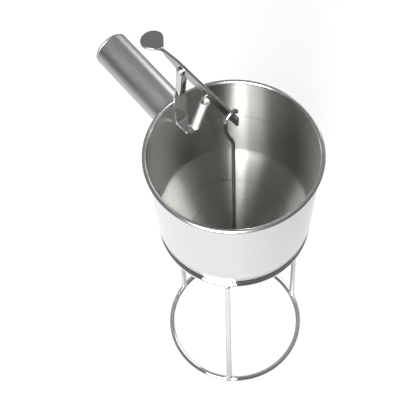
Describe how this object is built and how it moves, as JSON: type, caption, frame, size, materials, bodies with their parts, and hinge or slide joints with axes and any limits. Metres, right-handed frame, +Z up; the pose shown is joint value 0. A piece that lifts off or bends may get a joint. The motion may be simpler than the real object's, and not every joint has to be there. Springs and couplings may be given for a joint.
{
  "type": "confectionery funnel with stand",
  "caption": "Round metal dosing funnel with a tubular side handle, a sprung thumb lever that lifts a valve rod off the outlet, and an open wire stand that it lifts out of.",
  "frame": {"origin": "centre of the stand's base ring on the table, on the funnel's axis", "axes": "+Z up along the funnel's axis, handle and thumb pad along -X, lever plane at Y = 0"},
  "size_m": [0.2312, 0.14, 0.3687],
  "materials": {
    "polished_steel": "mirror outside, brushed inside",
    "satin_steel": "satin",
    "strip_steel": "polished",
    "turned_steel": "turned",
    "wire_steel": "bright drawn",
    "chromed_wire": "bright",
    "seal": "matt"
  },
  "bodies": {
    "stand": {"stand_top_ring": "chromed_wire", "stand_base_ring": "chromed_wire", "stand_leg_a": "chromed_wire", "stand_leg_b": "chromed_wire", "stand_leg_c": "chromed_wire"},
    "funnel": {"upper_shell": "polished_steel", "cone_shell": "polished_steel", "outlet_ferrule": "turned_steel", "handle_tube": "satin_steel", "handle_end_cap": "satin_steel", "lever_bracket": "strip_steel", "pivot_pin": "turned_steel", "lever_spring": "wire_steel"},
    "lever": {"lever": "strip_steel"},
    "valve": {"valve_rod": "wire_steel", "stopper": "turned_steel"},
    "nozzle": {"nozzle": "turned_steel", "nozzle_seal": "seal"}
  },
  "joints": [
    {"name": "funnel_lift", "type": "slide", "parent": "stand", "child": "funnel", "axis": [0, 0, 1], "range_m": [0, 0.13]},
    {"name": "lever_press", "type": "hinge", "parent": "funnel", "child": "lever", "pos_m": [-0.059, 0, 0.3575], "axis": [0, -1, 0], "range_deg": [0, 10], "stiffness_Nm_per_rad": 0.55, "springref_deg": -20.05, "deforming": ["lever_spring"]},
    {"name": "rod_lift", "type": "slide", "parent": "funnel", "child": "valve", "axis": [0, 0, 1], "range_m": [0, 0.01079]},
    {"name": "nozzle_unscrew", "type": "slide", "parent": "funnel", "child": "nozzle", "axis": [0, 0, -1], "range_m": [0, 0.025]}
  ],
  "couplings": [
    {"joint": "rod_lift", "follows": "lever_press", "m_per_rad": 0.0618}
  ]
}
